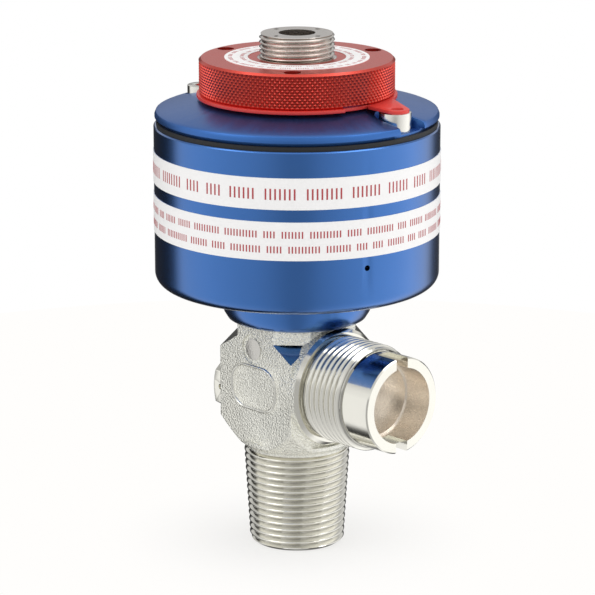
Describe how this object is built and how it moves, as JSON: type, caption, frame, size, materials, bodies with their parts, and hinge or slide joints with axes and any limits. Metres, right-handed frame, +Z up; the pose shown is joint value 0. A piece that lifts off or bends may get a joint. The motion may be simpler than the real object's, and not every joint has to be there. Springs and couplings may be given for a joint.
{
  "type": "pneumatic cylinder valve",
  "caption": "Air operated gas cylinder valve: forged body with tapered inlet thread, side outlet, relief plug, diaphragm seat, blue piston actuator and red lock ring.",
  "frame": {"origin": "centre of the inlet end face, where the gas bore opens", "axes": "+Z up the inlet, body and actuator; +X out of the side outlet; -X out of the relief plug; -Y is the front face with the round spot"},
  "size_m": [0.0785, 0.0764, 0.14],
  "materials": {
    "nickel_body": "nickel plated, sandblasted forging with machined threads",
    "copper": "soft copper",
    "steel": "turned",
    "spring_steel": "hardened",
    "brass": "turned",
    "seal_rubber": "matte",
    "gasket": "fibre",
    "blue_anodised": "blue anodised, satin",
    "red_anodised": "red anodised, knurled",
    "red_paint": "red",
    "band_label": "white film with red marks",
    "ring_print": "white film with red marks",
    "screw_steel": "zinc plated",
    "stainless": "turned",
    "white_plastic": "smooth",
    "aluminium": "turned"
  },
  "bodies": {
    "valve": {"valve_body": "nickel_body", "burst_disc": "steel", "relief_washer": "copper", "relief_plug": "nickel_body", "diaphragms": "spring_steel", "clamp_ring": "steel", "spindle_guide": "brass", "return_springs": "spring_steel", "bonnet": "steel", "stem_seal": "seal_rubber", "bonnet_gasket": "gasket", "actuator_housing": "blue_anodised", "upper_band": "band_label", "lower_band": "band_label", "disc_springs": "spring_steel", "cover": "blue_anodised", "cover_seal": "seal_rubber", "cover_gasket": "seal_rubber", "cover_screws": "screw_steel", "air_spigot": "stainless", "spigot_seal": "seal_rubber", "thrust_washer": "white_plastic"},
    "piston": {"piston": "aluminium", "piston_seal": "seal_rubber", "piston_ring": "white_plastic", "spring_guide": "steel", "valve_stem": "stainless", "seat_holder": "brass", "seat_disc": "white_plastic"},
    "lock_ring": {"knurled_ring": "red_anodised", "ring_label": "ring_print", "seal_plate": "red_paint", "plate_screws": "screw_steel"}
  },
  "joints": [
    {"name": "piston_lift", "type": "slide", "parent": "valve", "child": "piston", "axis": [0, 0, 1], "range_m": [0, 0.0015], "stiffness_N_per_m": 20000, "deforming": ["disc_springs", "return_springs", "diaphragms"]},
    {"name": "ring_turn", "type": "hinge", "parent": "valve", "child": "lock_ring", "pos_m": [0, 0, 0.1288], "axis": [0, 0, 1], "range_deg": [0, 180]}
  ]
}
